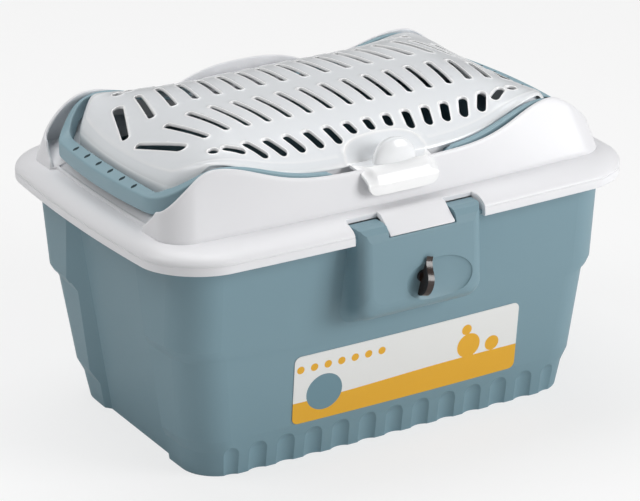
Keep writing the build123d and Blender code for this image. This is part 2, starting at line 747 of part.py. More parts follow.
def make_label():
    grown = tub_sections(0.0, grow=label_gap)
    raised = tub_sections(0.0, grow=label_gap + label_thickness)
    face = Pos(label_centre_x, label_low + label_height / 2) * Rectangle(label_length, label_height)
    face = fillet(face.vertices(), 5.0)
    window = extrude(Plane.XZ * face, FAR)
    return (loft(raised, ruled=True) & window) - loft(grown, ruled=True)


catch = make_catch()
label = make_label()

pieces = {
    "tub": tub,
    "lid": lid,
    "grille_door": door,
    "door_hinge_pins": Compound(children=door_pins),
    "lid_hinge_pins": Compound(children=lid_pins),
    "handle_left": handle_left,
    "handle_right": handle_right,
    "turn_catch": catch,
    "front_label": label,
}
for name, piece in pieces.items():
    export_step(piece, f"parts/{name}.step")
    print(name, piece.is_valid, len(piece.solids()), round(piece.volume / 1000, 2), "cm3")
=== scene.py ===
"""A top-load pet carrier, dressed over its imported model, piece by piece as it is put together:
tub, label, turn catch, lid, grille door, handles, then the plain studio."""
import math

import bmesh
import bpy
import numpy as np
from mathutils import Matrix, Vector
from mathutils.geometry import delaunay_2d_cdt


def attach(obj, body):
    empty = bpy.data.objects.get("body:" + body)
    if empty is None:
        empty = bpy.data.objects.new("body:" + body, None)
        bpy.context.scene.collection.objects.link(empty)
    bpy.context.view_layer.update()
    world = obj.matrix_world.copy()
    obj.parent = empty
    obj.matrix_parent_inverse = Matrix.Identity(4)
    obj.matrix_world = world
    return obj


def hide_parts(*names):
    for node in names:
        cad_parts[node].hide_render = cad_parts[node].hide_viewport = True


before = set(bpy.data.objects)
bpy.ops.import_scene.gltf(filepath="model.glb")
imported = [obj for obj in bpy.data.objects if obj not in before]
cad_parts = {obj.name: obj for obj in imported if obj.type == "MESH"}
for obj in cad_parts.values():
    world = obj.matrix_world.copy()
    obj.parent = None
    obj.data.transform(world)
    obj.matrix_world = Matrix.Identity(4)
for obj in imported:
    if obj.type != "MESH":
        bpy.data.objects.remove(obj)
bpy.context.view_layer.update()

# The tub: one deep injection moulding in grey-teal polypropylene, with recessed end panels, a
# fluted plinth and a catch boss on its front.  The mould was lightly spark-textured, so the
# surface is satin, with a faint fine grain.


def linear(code):
    """Colour written as sRGB hex, turned to linear light by the standard sRGB curve."""
    parts = np.array([int(code[k:k + 2], 16) / 255 for k in (1, 3, 5)])
    light = np.where(parts <= 0.04045, parts / 12.92, ((parts + 0.055) / 1.055) ** 2.4)
    return (*light.tolist(), 1.0)


def feed(node, values):
    """Gives a shader node its values by the name or number of an input, or as the node's own
    setting.  A value that is another node's output is linked instead."""
    for name, value in values.items():
        if isinstance(value, bpy.types.NodeSocket):
            node.id_data.links.new(value, node.inputs[name])
        elif isinstance(name, int) or name in node.inputs:
            node.inputs[name].default_value = value
        else:
            setattr(node, name, value)
    return node


def add(material, kind, values):
    """Adds one shader node with its values and links."""
    return feed(material.node_tree.nodes.new(kind), values)


def surface(name, values):
    """New material with the given values on its one shader."""
    material = bpy.data.materials.new(name)
    material.use_nodes = True
    feed(material.node_tree.nodes["Principled BSDF"], values)
    return material


clouds_a_metre = 9.0         # broad shade changes, about 110 mm across


def moulded(name, light, deep, rough, grain_mm, bump_mm, ior=1.49):
    """Injection-moulded plastic: two close shades in broad clouds, and the fine texture of the
    mould, which spreads the roughness a little and lifts the surface by a few hundredths."""
    material = surface(name, {"IOR": ior})
    place = add(material, "ShaderNodeTexCoord", {}).outputs["Object"]
    cloud = add(material, "ShaderNodeTexNoise",
                {"Vector": place, "Scale": clouds_a_metre, "Detail": 2.0})
    shade = add(material, "ShaderNodeMix", {"data_type": "RGBA", 0: cloud.outputs["Fac"],
                                            6: linear(deep), 7: linear(light)})
    grain = add(material, "ShaderNodeTexNoise",
                {"Vector": place, "Scale": 1000.0 / grain_mm, "Detail": 3.0})
    spread = add(material, "ShaderNodeMapRange", {"Value": grain.outputs["Fac"],
                                                  "To Min": rough - 0.05, "To Max": rough + 0.05})
    bump = add(material, "ShaderNodeBump", {"Height": grain.outputs["Fac"], "Strength": 0.35,
                                            "Distance": bump_mm / 1000})
    feed(material.node_tree.nodes["Principled BSDF"], {
        "Base Color": shade.outputs[2], "Roughness": spread.outputs["Result"],
        "Normal": bump.outputs["Normal"]})
    return material


def dress(node_name, material):
    """Gives a CAD node its material."""
    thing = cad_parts[node_name]
    for place in thing.material_slots:
        place.material = material
    if not thing.material_slots:
        thing.data.materials.append(material)


# Satin: broad soft highlights and no mirror image.  The spark grain is finer than 1.2 mm on the
# real one, and is drawn as coarse as it needs to show.
tub_polypropylene = moulded("satin_teal_polypropylene", "#7c99a4", "#7895a0", 0.48, 1.2, 0.05)
dress("tub", tub_polypropylene)

# The label: printed paper glued flat on the tub's front, white above and amber below a gently
# waving line, with plain discs and a row of dots.  The varnished print has a low, even sheen.

label_paper = surface("printed_label_paper", {"Roughness": 0.42, "IOR": 1.45})
label_place = add(label_paper, "ShaderNodeTexCoord", {}).outputs["Object"]
label_axes = add(label_paper, "ShaderNodeSeparateXYZ", {"Vector": label_place})
label_x, label_z = label_axes.outputs["X"], label_axes.outputs["Z"]
label_flat = add(label_paper, "ShaderNodeVectorMath",
                 {"operation": "MULTIPLY", 0: label_place, 1: (1.0, 0.0, 1.0)})
dot_level, dot_radius, dot_half_pitch, dots_stop = 0.0745, 0.0030, 0.0055, -0.0105
label_discs = ((0.0585, 0.0600, 0.0098), (0.0790, 0.0570, 0.0060), (0.0560, 0.0735, 0.0042))


def disc(place, x, z, radius):
    """1 where a place is nearer a centre than the radius, 0 elsewhere."""
    gap = add(label_paper, "ShaderNodeVectorMath", {"operation": "DISTANCE", 0: place, 1: (x, 0.0, z)})
    return add(label_paper, "ShaderNodeMath",
               {"operation": "LESS_THAN", 0: gap.outputs["Value"], 1: radius}).outputs[0]


# The line: a slope plus a sine of the place along the label.
wave_turn = add(label_paper, "ShaderNodeMath", {"operation": "MULTIPLY_ADD", 0: label_x, 1: 30.0, 2: 0.4})
wave = add(label_paper, "ShaderNodeMath", {"operation": "SINE", 0: wave_turn.outputs[0]})
slope = add(label_paper, "ShaderNodeMath", {"operation": "MULTIPLY_ADD", 0: label_x, 1: 0.012, 2: 0.0497})
line = add(label_paper, "ShaderNodeMath",
           {"operation": "MULTIPLY_ADD", 0: wave.outputs[0], 1: 0.0009, 2: slope.outputs[0]})
amber_part = add(label_paper, "ShaderNodeMath", {"operation": "LESS_THAN", 0: label_z, 1: line.outputs[0]})
# The dots: one disc that the folded place along the label repeats, as far as the row goes.
dot_shift = add(label_paper, "ShaderNodeMath", {"operation": "ADD", 0: label_x, 1: 0.5})
dot_fold = add(label_paper, "ShaderNodeMath",
               {"operation": "PINGPONG", 0: dot_shift.outputs[0], 1: dot_half_pitch})
dot_place = add(label_paper, "ShaderNodeCombineXYZ", {"X": dot_fold.outputs[0], "Z": label_z})
dot_row = add(label_paper, "ShaderNodeMath", {"operation": "LESS_THAN", 0: label_x, 1: dots_stop})
dots = add(label_paper, "ShaderNodeMath", {
    "operation": "MULTIPLY", 0: disc(dot_place.outputs["Vector"], 0.0, dot_level, dot_radius),
    1: dot_row.outputs[0]})
amber = amber_part.outputs[0]
for mark in [dots.outputs[0]] + [disc(label_flat.outputs["Vector"], *sizes) for sizes in label_discs]:
    amber = add(label_paper, "ShaderNodeMath", {"operation": "MAXIMUM", 0: amber, 1: mark}).outputs[0]
amber_ink = add(label_paper, "ShaderNodeMix",
                {"data_type": "RGBA", 0: amber, 6: linear("#e9e9e7"), 7: linear("#e8ae30")})
teal_ink = add(label_paper, "ShaderNodeMix", {
    "data_type": "RGBA", 0: disc(label_flat.outputs["Vector"], -0.062, 0.0525, 0.0145),
    6: amber_ink.outputs[2], 7: linear("#6f8f9b")})
feed(label_paper.node_tree.nodes["Principled BSDF"], {"Base Color": teal_ink.outputs[2]})
dress("front_label", label_paper)

# The turn catch: one small moulding in dark brown acetal, that turns in the boss on its own round
# shank.  Acetal leaves a polished mould glossy, so it shows small sharp highlights.

catch_acetal = moulded("gloss_dark_brown_acetal", "#2b1a12", "#22120b", 0.24, 2.0, 0.01, ior=1.48)
feed(catch_acetal.node_tree.nodes["Principled BSDF"], {"Coat Weight": 0.25})
dress("turn_catch", catch_acetal)

# The lid: a second moulding, in white polypropylene, that clips over the tub's lip.  Its rolled
# rim and rounded flange carry a leaning wall with a wavy edge, and a channel inside that wall
# holds the folded handles.  The wall's edge is rounded by the mould's parting.

long_share = np.linspace(-1, 1, 201)
end_share = np.linspace(-1, 1, 91)
corner_turn = np.radians(np.linspace(0, 90, 19)[1:-1])
still_x, still_share = 70.0, 0.45   # nearer the middle than this, a column has the same x in every row


def around():
    """Shares and normals of the columns round a rounded rectangle: front, right, back, left."""
    shares_x, shares_y, normal_x, normal_y = [], [], [], []
    corners = {0: (1, -1), 1: (1, 1), 2: (-1, 1), 3: (-1, -1)}
    for side in range(4):
        along = long_share if side % 2 == 0 else end_share
        first = 1 if side in (0, 1) else -1
        run = first * along
        ones = np.ones_like(run)
        out_y = -1.0 if side == 0 else 1.0
        out_x = 1.0 if side == 1 else -1.0
        if side % 2 == 0:
            shares_x.append(run), shares_y.append(out_y * ones)
            normal_x.append(0 * ones), normal_y.append(out_y * ones)
        else:
            shares_x.append(out_x * ones), shares_y.append(run)
            normal_x.append(out_x * ones), normal_y.append(0 * ones)
        sx, sy = corners[side]
        turn = corner_turn if side in (0, 2) else corner_turn[::-1]
        shares_x.append(sx + 0 * turn), shares_y.append(sy + 0 * turn)
        normal_x.append(sx * np.sin(turn)), normal_y.append(sy * np.cos(turn))
    return [np.concatenate(v) for v in (shares_x, shares_y, normal_x, normal_y)]


column_x, column_y, out_x, out_y = around()


def plan(half_x, half_y, corner, bow_x, bow_y, inset=0.0):
    """Rounded rectangle with bowed sides: share of the straight part, plus the corner radius along
    the normal, plus a bow that falls with the square of the distance from the side's middle."""
    corner_x = half_x - bow_x - inset
    corner_y = half_y - bow_y - inset
    radius = corner - inset
    straight = corner_x - radius
    share = np.abs(column_x)
    near = share * still_x / still_share
    far = still_x + (share - still_share) / (1 - still_share) * (straight - still_x)
    x = np.sign(column_x) * np.where(share < still_share, near, far) + out_x * radius
    y = column_y * (corner_y - radius) + out_y * radius
    bowed_x = x + out_x * np.abs(out_x) * bow_x * (1 - (y / corner_y) ** 2)
    bowed_y = y + out_y * np.abs(out_y) * bow_y * (1 - (x / corner_x) ** 2)
    return bowed_x, bowed_y


def quads(rows, columns, close_rows=False, close_columns=False):
    """Faces of a grid of points, wrapped round in either direction."""
    r = np.arange(rows if close_rows else rows - 1)[:, None]
    c = np.arange(columns if close_columns else columns - 1)[None, :]
    up, on = (r + 1) % rows, (c + 1) % columns
    faces = np.stack([r * columns + c, r * columns + on, up * columns + on, up * columns + c], axis=-1)
    return faces.reshape(-1, 4)


def end_caps(rows, columns):
    """Faces that close the two ends of a surface whose rows run right round: its first column in
    the order of the rows, and its last column against it."""
    first = np.arange(rows) * columns
    return [first.tolist(), (first + columns - 1)[::-1].tolist()]


def piece(name, points, faces, material, body, crease=None):
    """Makes an object from points in millimetres and faces, and lets it ride on a body."""
    mesh = bpy.data.meshes.new(name)
    mesh.from_pydata((np.reshape(points, (-1, 3)) * 0.001).tolist(), [], [list(f) for f in faces])
    mesh.materials.append(material)
    mesh.shade_smooth()
    if crease:
        mesh.set_sharp_from_angle(angle=math.radians(crease))
    mesh.validate()
    made = bpy.data.objects.new(name, mesh)
    bpy.context.scene.collection.objects.link(made)
    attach(made, body)
    return made


def eased(share):
    """Smooth step: three times the square less twice the cube."""
    return share * share * (3 - 2 * share)


# The wavy edge: its low middle, its humps, their rounded fall, and the hood behind the door.
dip_height, hump_height, hump_x, hump_reach = 213.5, 231.5, 136.0, 44.0
hump_round, hump_fall = 31.8, 1.26
hood_rise, hood_half, hood_power = 15.5, 62.0, 2.6
# Levels of the crease at the wall's foot, of the lid's underside, and of the rim's top edge.
crease_height, lid_low, rim_high, inner_rim_high = 187.2, 172.0, 178.3, 176.3
# Plans: half length, half depth, corner radius, and the bows of the ends and the long sides.
rim_plan = (198.0, 148.5, 43.5, 7.7, 4.4)
dome_plan = (181.0, 121.0, 20.0, 2.0, 5.0)
door_plan = (161.5, 104.5, 22.0, 7.0, 16.5)
lean_x, lean_y, lean_bow = 9.0, 7.0, 11.0       # of the wall, from its foot to the humps
lid_wall, recess_depth, recess_half = 2.4, 4.2, 75.0
# The handles that the channel holds: levels of the grip, gap under it, and the arms' own humps.
grip_low, grip_top, handle_seat = 197.3, 209.8, 0.9
arm_hump_x, arm_hump_height, arm_fall = 128.0, 230.0, 46.0
# The channel's floor: where it leaves the arms' line, where it is level, and where it falls.
arm_reach, level_reach, fall_reach, rim_reach = 146.0, 157.5, 168.0, 184.0
level_floor, fall_floor = 196.4, 186.0
# The wings: the wall's edge where it comes down round the ends, as a slope and then a curve.
wing_level, wing_foot, wing_slope, wing_bend = 190.8, 1.6, 1.05, 0.0048
grip_half_open, wing_from, wing_past, wing_turn = 73, 75, 96, 20
seat_reach, seat_run, seat_high, seat_low = 134.3, 17.7, 229.8, 211.0
notch_half, notch_y = 52.5, -132.2              # the rim's notch in front, where the boss stands


def edge_height(x):
    """Wavy edge: a bell-shaped hump either side of the middle, then a rounded slope down."""
    past = np.abs(x) - hump_x
    inner = dip_height + (hump_height - dip_height) * np.exp(-(past / hump_reach) ** 2)
    return np.where(past < 0, inner, hump_height + hump_round - np.hypot(hump_round, hump_fall * past))


def arm_top(x):
    """Upper edge of a handle's arm: its own smaller hump, then half a cosine down to the grip."""
    past = np.abs(x) - arm_hump_x
    inner = dip_height + (arm_hump_height - dip_height) * np.exp(-(past / hump_reach) ** 2)
    share = np.clip(past / arm_fall, 0, 1) ** 1.25
    outer = arm_hump_height - (arm_hump_height - grip_top) * (1 - np.cos(np.pi * share)) / 2
    return np.where(past < 0, inner, outer)


def channel_floor(x):
    """The channel follows the underside of the arms, then the grip, then falls to the rim."""
    arm = arm_top(x) - (grip_top - grip_low) - handle_seat
    ends = np.interp(np.abs(x), (level_reach, fall_reach, rim_reach), (level_floor, level_floor, fall_floor))
    at_reach = arm_top(arm_reach) - (grip_top - grip_low) - handle_seat
    blend = np.clip((np.abs(x) - arm_reach) / (level_reach - arm_reach), 0, 1)
    ends = np.where(np.abs(x) < level_reach, at_reach * (1 - blend) + level_floor * blend, ends)
    return np.where(np.abs(x) < arm_reach, arm, ends)


def dome(height, inset=0.0):
    """Plan of the leaning wall at a height: it leans in and bows out more as it rises."""
    rise = (height - crease_height) / (hump_height - crease_height)
    return plan(dome_plan[0] - lean_x * rise, dome_plan[1] - lean_y * rise, dome_plan[2], dome_plan[3],
                dome_plan[4] + lean_bow * rise, inset)


def wall_top():
    """Height of the wall's edge for each column: the wave, the hood at the back, and the open
    ends, where the edge comes down beside the grips.  The plan leans with the height, so it is
    worked out three times."""
    top = np.full(column_x.shape, 215.0)
    for _ in range(3):
        x, y = dome(top, lid_wall / 2)
        hood = np.where((y > 0) & (np.abs(x) < hood_half),
                        hood_rise * (1 - np.clip(np.abs(x) / hood_half, 0, 1) ** hood_power), 0)
        run = (np.minimum(np.abs(y), wing_past) - wing_from
               + wing_turn * np.arctan2(np.abs(out_y), np.abs(out_x))
               + np.maximum(159 - np.abs(x), 0) * (out_x == 0))
        wing = np.where(run < 0, wing_level + wing_foot * run,
                        wing_level + wing_slope * run - wing_bend * np.minimum(run, 100) ** 2)
        wing = np.where(np.abs(y) < grip_half_open, channel_floor(x) + 0.4, wing)
        wing = np.where(np.abs(x) < 145, 300, wing)     # no wing beside the door's long edges
        top = np.minimum(edge_height(x) + hood, wing)
    return top


def lid_rows():
    """Closed profile carried round the lid: rim, flange, wall, edge, channel, seat and inside."""
    rows = []

    def row(where, height):
        """Adds one row of points, a plan at a height."""
        x, y = where
        rows.append(np.stack([x, y, height + 0 * x], axis=-1))

    def between(a, b, share):
        """Plan part of the way from one plan to another."""
        return tuple(p * (1 - share) + q * share for p, q in zip(a, b))

    top = wall_top()
    rim = plan(*rim_plan)
    foot = dome(crease_height)
    row(plan(*rim_plan, inset=1.8), lid_low)
    row(plan(*rim_plan, inset=0.7), lid_low)
    row(plan(*rim_plan, inset=0.15), lid_low + 0.3)
    row(rim, lid_low + 0.9)
    row(rim, rim_high - 0.5)
    row(plan(*rim_plan, inset=0.12), rim_high - 0.2)
    row(plan(*rim_plan, inset=0.5), rim_high)
    row(plan(*rim_plan, inset=0.3), rim_high + 0.3)
    for turn in np.radians(np.linspace(6, 90, 15)):
        row(between(rim, foot, 1 - np.cos(turn)), rim_high + (crease_height - rim_high) * np.sin(turn))
    row(dome(crease_height, 0.15), crease_height - 0.25)
    under_grip = eased(np.clip((recess_half - np.abs(foot[1])) / 3.0, 0, 1) * (np.abs(out_x) > 0.99))

    def wall(height, inset=0.0):
        """Plan of the wall, set back in the recess under each grip."""
        x, y = dome(height, inset)
        return x - out_x * recess_depth * under_grip, y

    for share in np.linspace(0, 1, 14):
        height = crease_height + 0.3 + (top - 1.0 - crease_height - 0.3) * share
        row(wall(height), height)
    for inset, below in ((0.25, 0.35), (0.8, 0.05), (1.6, 0.05), (2.15, 0.35), (2.4, 1.0)):
        row(wall(top, inset), top - below)
    floor = np.minimum(channel_floor(wall(top, lid_wall)[0]), top - 1.2)
    for share in (0.33, 0.66, 0.93):
        height = top - 1.0 + (floor - top + 1.0) * share
        row(wall(height, lid_wall), height)
    outside = wall(floor, lid_wall + 0.6)
    inside = plan(*door_plan, inset=3.3)
    for share in (0.0, 0.2, 0.4, 0.6, 0.8, 0.97):
        where = between(outside, inside, share)
        row(where, np.minimum(channel_floor(where[0]), floor + 20 * share))
    down = np.clip((np.abs(inside[0]) - seat_reach) / seat_run, 0, 1)
    seat = np.where(np.abs(inside[0]) < seat_reach, edge_height(inside[0]) - 1.6,
                    seat_high + (seat_low - seat_high) * down)
    row(inside, channel_floor(inside[0]) + 0.6)
    row(inside, seat - 0.5)
    row(plan(*door_plan, inset=3.7), seat)
    row(plan(*door_plan, inset=5.1), seat)
    row(plan(*door_plan, inset=5.5), seat - 0.5)
    opening = plan(*door_plan, inset=5.5)
    low = channel_floor(opening[0]) - 2.2
    row(opening, low)
    under = np.minimum(channel_floor(dome(floor, lid_wall)[0]), floor) - 2.2
    under = np.maximum(under, crease_height - 1.5)
    row(between(opening, dome(under, lid_wall + 0.1), 0.5), (low + under) / 2)
    row(dome(under, lid_wall + 0.1), under)
    row(dome(crease_height, lid_wall + 0.1), np.minimum(crease_height - 2.2, under - 0.2))
    inner_rim = plan(*rim_plan, inset=lid_wall)
    inner_foot = dome(crease_height, lid_wall)
    for turn in np.radians(np.linspace(78, 6, 7)):
        row(between(inner_rim, inner_foot, 1 - np.cos(turn)),
            inner_rim_high + (crease_height - 2.6 - inner_rim_high) * np.sin(turn))
    row(inner_rim, lid_low + 0.4)
    points = np.stack(rows)
    notch = (np.abs(points[..., 0]) < notch_half) & (points[..., 1] < notch_y)
    points[..., 1] = np.where(notch, notch_y, points[..., 1])
    return points


lid_points = lid_rows()
# White polypropylene from a smoother mould than the tub's: a little glossier, with a fainter grain.
lid_polypropylene = moulded("satin_white_polypropylene", "#eeeef0", "#ebebee", 0.36, 1.0, 0.03)
lid_shell = piece("lid_shell", lid_points, quads(*lid_points.shape[:2], True, True),
                  lid_polypropylene, "lid", crease=50)


def tongue_points():
    """Tongue between the boss's ears: its side-on profile, carried across with rounded ends."""
    side = np.array([(-130.5, 187.0), (-134.0, 186.9), (-137.5, 186.0), (-144.0, 180.7), (-150.0, 175.9),
                     (-150.5, 175.2), (-150.4, 174.3), (-149.9, 174.1), (-144.2, 174.1), (-144.2, 150.0),
                     (-144.2, 128.2), (-143.9, 128.0), (-142.1, 128.0), (-141.8, 128.2), (-141.8, 150.0),
                     (-141.8, 172.8), (-136.0, 182.9), (-130.5, 184.2)])
    middle = np.array([-142.0, 178.0])
    rows = []
    for x, tuck in ((-26.3, 0.5), (-26.1, 0.12), (-25.6, 0.0), (-7.0, 0.0), (7.0, 0.0), (25.6, 0.0),
                    (26.1, 0.12), (26.3, 0.5)):
        pulled = side + tuck * (middle - side) / np.linalg.norm(side - middle, axis=1, keepdims=True)
        rows.append(np.column_stack([np.full(len(side), x), pulled]))
    return np.stack(rows)


tongue = tongue_points()
ring_ends = np.arange(tongue.shape[1])
caps = [ring_ends[::-1].tolist(), ((tongue.shape[0] - 1) * tongue.shape[1] + ring_ends).tolist()]
piece("lid_tongue", tongue, quads(*tongue.shape[:2], close_columns=True).tolist() + caps,
      lid_polypropylene, "lid", crease=40)
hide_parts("lid")

# The grille door: a domed panel of milky, slightly see-through polypropylene in the lid.  It has
# rows of slots with a raised bead round each, a bead along its edge, and it was moulded in one
# with the pull tab and the hollow half-dome thumb rest at its front.

# The skin: its middle line, how square its cross-section is, its thickness and rounded edge.
ridge_height, ridge_flat, ridge_drop, ridge_power, edge_power = 242.5, 95.0, 27.0, 1.75, 3.4
door_thickness, edge_round = 1.5, 2.4
bead_height, bead_width, bead_place = 0.5, 0.62, 0.75
# Slots beside the middle line and vents along the long edges: rank, pitches at both ends, ends,
# and radii.  They fan out, so the pitch differs from end to end.
slot_rank, slot_pitch_in, slot_pitch_out, slot_in, slot_out, slot_radius = 7, 18.1, 16.6, 10.0, 55.0, 2.5
vent_pitch_in, vent_pitch_out, vent_in, vent_out, vent_short, vent_radius = 16.1, 14.9, 72.5, 90.0, 85.0, 3.3
hole_x, hole_y, hole_radius = 122.6, 74.7, 3.8
fan_in, fan_out, fan_radii = (148.4, 10.6), (134.8, 49.5), (2.5, 4.0)
# The line round the thumb scoop, and the strip where the skin turns down beside the grips.
arch_half, arch_foot, arch_rise, arch_power = 32.3, -104.5, 17.4, 2.6
shoulder_from, shoulder_run, shoulder_width, shoulder_low = 133.0, 21.0, 10.0, 211.6
hinge_y, hinge_z, hinge_x, knuckle_half = 107.0, 217.0, 22.0, 5.7


def ridge(x):
    """Middle line: level, then falling by the 1.75th power of the distance."""
    past = np.maximum((np.abs(x) - ridge_flat) / (door_plan[0] - ridge_flat), 0)
    return ridge_height - ridge_drop * past ** ridge_power


def door_height(x, y):
    """Outer face: from the ridge down to just above the wavy edge, turning down late."""
    half = door_plan[1] - door_plan[4] * (x / (door_plan[0] - door_plan[3])) ** 2
    edge = edge_height(x) + 1.0
    share = np.minimum(np.abs(y) / half, 1.03)
    return edge + (ridge(x) - edge) * (1 - share ** edge_power)


def slot_ends():
    """Both ends of every slot with its radius at each end, as one array of rows."""
    rank = np.arange(-slot_rank, slot_rank + 1)
    rows = []
    for side in (-1, 1):
        start, run = slot_in + slot_radius, slot_out - slot_radius
        share = (np.array([start, run]) - slot_in) / (slot_out - slot_in)
        x = rank[:, None] * (slot_pitch_in + (slot_pitch_out - slot_pitch_in) * share)
        rows += [(a, side * start, b, side * run, slot_radius, slot_radius) for a, b in x]
        for k in rank:
            stop = (vent_short if abs(k) in (0, 1, slot_rank) else vent_out) - vent_radius
            rows.append((k * vent_pitch_in, side * (vent_in + vent_radius), k * vent_pitch_out, side * stop,
                         vent_radius, vent_radius))
        for end in (-1, 1):
            rows.append((end * hole_x, side * hole_y, end * hole_x, side * 74.9, hole_radius, hole_radius))
            rows.append((end * fan_in[0], side * fan_in[1], end * fan_out[0], side * fan_out[1], *fan_radii))
    return np.array(rows)


slots = slot_ends()
slot_turn = np.linspace(0, 2 * np.pi, 45)[:-1]


def slot_rings(offset):
    """Rings round all slots at a distance from their edges: half a circle at each end, and the
    points of each straight side spread evenly between them."""
    a, b = slots[:, None, 0:2], slots[:, None, 2:4]
    run = b - a
    length = np.maximum(np.linalg.norm(run, axis=-1, keepdims=True), 1e-6)
    along = run / length
    across = np.stack([-along[..., 1], along[..., 0]], axis=-1)
    wave = np.sin(slot_turn)
    spread = np.clip(0.5 + 0.5 * np.cos(slot_turn) * 1.6, 0, 1)
    near_turn = np.pi - np.arccos(np.clip((-np.cos(slot_turn) - 0.625) / 0.375, -1, 1))
    far_turn = np.arccos(np.clip((np.cos(slot_turn) - 0.625) / 0.375, -1, 1))
    end_turn = np.where(spread >= 1, far_turn, np.where(spread <= 0, near_turn, np.pi / 2))
    side = np.sign(wave)
    radius = (slots[:, None, 4] * (1 - spread) + slots[:, None, 5] * spread + offset)[..., None]
    normal = along * np.cos(end_turn)[None, :, None] + across * (side * np.sin(end_turn))[None, :, None]
    return a + run * spread[None, :, None] + normal * radius


def slot_distance(points):
    """Distance from points to the edge of the nearest slot, less than nothing inside it."""
    a, b = slots[None, :, 0:2], slots[None, :, 2:4]
    run = b - a
    share = np.clip(((points[:, None] - a) * run).sum(-1) / np.maximum((run ** 2).sum(-1), 1e-9), 0, 1)
    near = a + run * share[..., None]
    radius = slots[None, :, 4] * (1 - share) + slots[None, :, 5] * share
    return (np.linalg.norm(points[:, None] - near, axis=-1) - radius).min(axis=1)


def edge_ring(inset):
    """The door's outline, set in by a distance, as rows of x and y."""
    x, y = plan(*door_plan, inset=inset)
    return np.stack([x, y], axis=-1)


def line_distance(points, line):
    """Distance from points to the nearest of a line's points, taken a twelfth of them at a time."""
    nearest = np.full(len(points), 1e9)
    for part in np.array_split(np.arange(len(line)), 12):
        gap = np.linalg.norm(points[:, None] - line[None, part], axis=-1)
        nearest = np.minimum(nearest, gap.min(axis=1))
    return nearest


def thumb_arch():
    """Raised line round the thumb scoop: the upper half of a squared-off ellipse."""
    turn = np.linspace(0, np.pi, 300)
    x = arch_half * np.sign(np.cos(turn)) * np.abs(np.cos(turn)) ** (2 / arch_power)
    return np.stack([x, arch_foot + arch_rise * np.sin(turn) ** (2 / arch_power)], axis=-1)


def beads(points):
    """Heights and share of painted light of the raised lines: a bell-shaped bead round each slot, a line
    along the door's edge, and the arch round the thumb scoop.  The painted light is also strong close to the
    door's edge and on the slots' walls."""
    gap = slot_distance(points)
    rim = line_distance(points, edge_ring(0.0))
    arch_gap = line_distance(points, thumb_arch())
    lip = np.exp(-((gap - bead_place) / bead_width) ** 2)
    lines = np.exp(-((rim - 6.0) / 0.7) ** 2)
    lines = np.where((np.abs(points[:, 0]) < 36) & (points[:, 1] < 0), 0, lines)    # none at the tab
    arch = np.exp(-(arch_gap / 0.95) ** 2)
    white = np.maximum.reduce([lip, 0.55 * lines, arch, 0.75 * np.exp(-(rim / 1.6) ** 2), gap < 0.2])
    return bead_height * lip + 0.3 * lines + 0.8 * arch, white


def shoulder(x, y, rim):
    """How far the skin turns down beside the grips, over the last few millimetres of its ends."""
    end = eased(np.clip((np.abs(x) - shoulder_from) / shoulder_run, 0, 1))
    near = np.clip((shoulder_width - rim) / shoulder_width, 0, 1)
    return (door_height(x, y) - shoulder_low) * end * (1 - np.sqrt(np.maximum(1 - near ** 2, 0)))


def door_panel():
    """Top and underside of the door over one plane triangulation that keeps every slot's edge,
    joined by walls along the slots and the outline."""
    rings = [slot_rings(step) for step in (0.0, 0.45, 0.95, 1.5, 2.2)]
    outlines = [edge_ring(step) for step in (0.0, 0.8, 1.7, 2.8, 3.9, 4.6, 5.4, 6.6)]
    x, y = np.meshgrid(np.arange(-159, 160, 3.4), np.arange(-102, 103, 3.4))
    field = np.stack([x.ravel() + 1.1 * (np.arange(x.size) % 2), y.ravel()], axis=-1)
    arch = thumb_arch()
    field = field[inside_outline(field, edge_ring(7.6)) & (slot_distance(field) > 3.4)]
    field = field[line_distance(field, arch) > 2.2]
    swell = np.concatenate([arch[::2] + step * np.array([0.0, 1.0]) for step in (-1.8, -0.9, 0.0, 0.9, 1.8)])
    field = np.concatenate([field, swell[inside_outline(swell, edge_ring(7.0))]])
    outer = [r.reshape(-1, 2) for r in rings[1:]]
    outer = [r[slot_distance(r) > 0.3] for r in outer]
    slot_edge = rings[0].reshape(-1, 2)
    flat = np.concatenate([slot_edge, outlines[0], *outer, *outlines[1:], field])
    n, count = rings[0].shape[1], rings[0].shape[0]
    around_slot = np.arange(n * count).reshape(count, n)
    borders = np.stack([around_slot, np.roll(around_slot, -1, axis=1)], axis=-1).reshape(-1, 2)
    ring = n * count + np.arange(len(outlines[0]))
    borders = np.concatenate([borders, np.stack([ring, np.roll(ring, -1)], axis=-1)])
    made = delaunay_2d_cdt([Vector(p) for p in flat.tolist()], borders.tolist(), [], 0, 1e-4)
    points = np.array([tuple(p) for p in made[0]])
    triangles = np.array([f for f in made[2] if len(f) == 3])
    middle = points[triangles].mean(axis=1)
    solid = slot_distance(middle) > 0
    within = (np.abs(middle[:, 0]) < door_plan[0]) & inside_outline(middle, edge_ring(-0.05))
    triangles = triangles[solid & within]
    raised, white = beads(points)
    rim = line_distance(points, edge_ring(0.0))
    fall = edge_round - np.sqrt(edge_round ** 2 - np.clip(edge_round - rim, 0, edge_round) ** 2)
    fall = np.minimum(fall, 1.4)
    skin = door_height(points[:, 0], points[:, 1]) - shoulder(points[:, 0], points[:, 1], rim)
    top = skin + raised - fall
    under = skin - door_thickness - 0.15
    upper = np.column_stack([points, top])
    lower = np.column_stack([points, under])
    size = len(points)
    edges = np.concatenate([triangles[:, [0, 1]], triangles[:, [1, 2]], triangles[:, [2, 0]]])
    _, place, times = np.unique(np.sort(edges, axis=1), axis=0, return_index=True, return_counts=True)
    start, stop = edges[place[times == 1]].T        # edges that bound one triangle only
    walls = np.concatenate([np.column_stack([stop, start, start + size]),
                            np.column_stack([stop, start + size, stop + size])])
    faces = np.concatenate([triangles, triangles[:, ::-1] + size, walls])
    # The underside takes four tenths of the top's painted light: painted shade under the door.
    return np.concatenate([upper, lower]), faces, np.concatenate([white, white * 0.4])


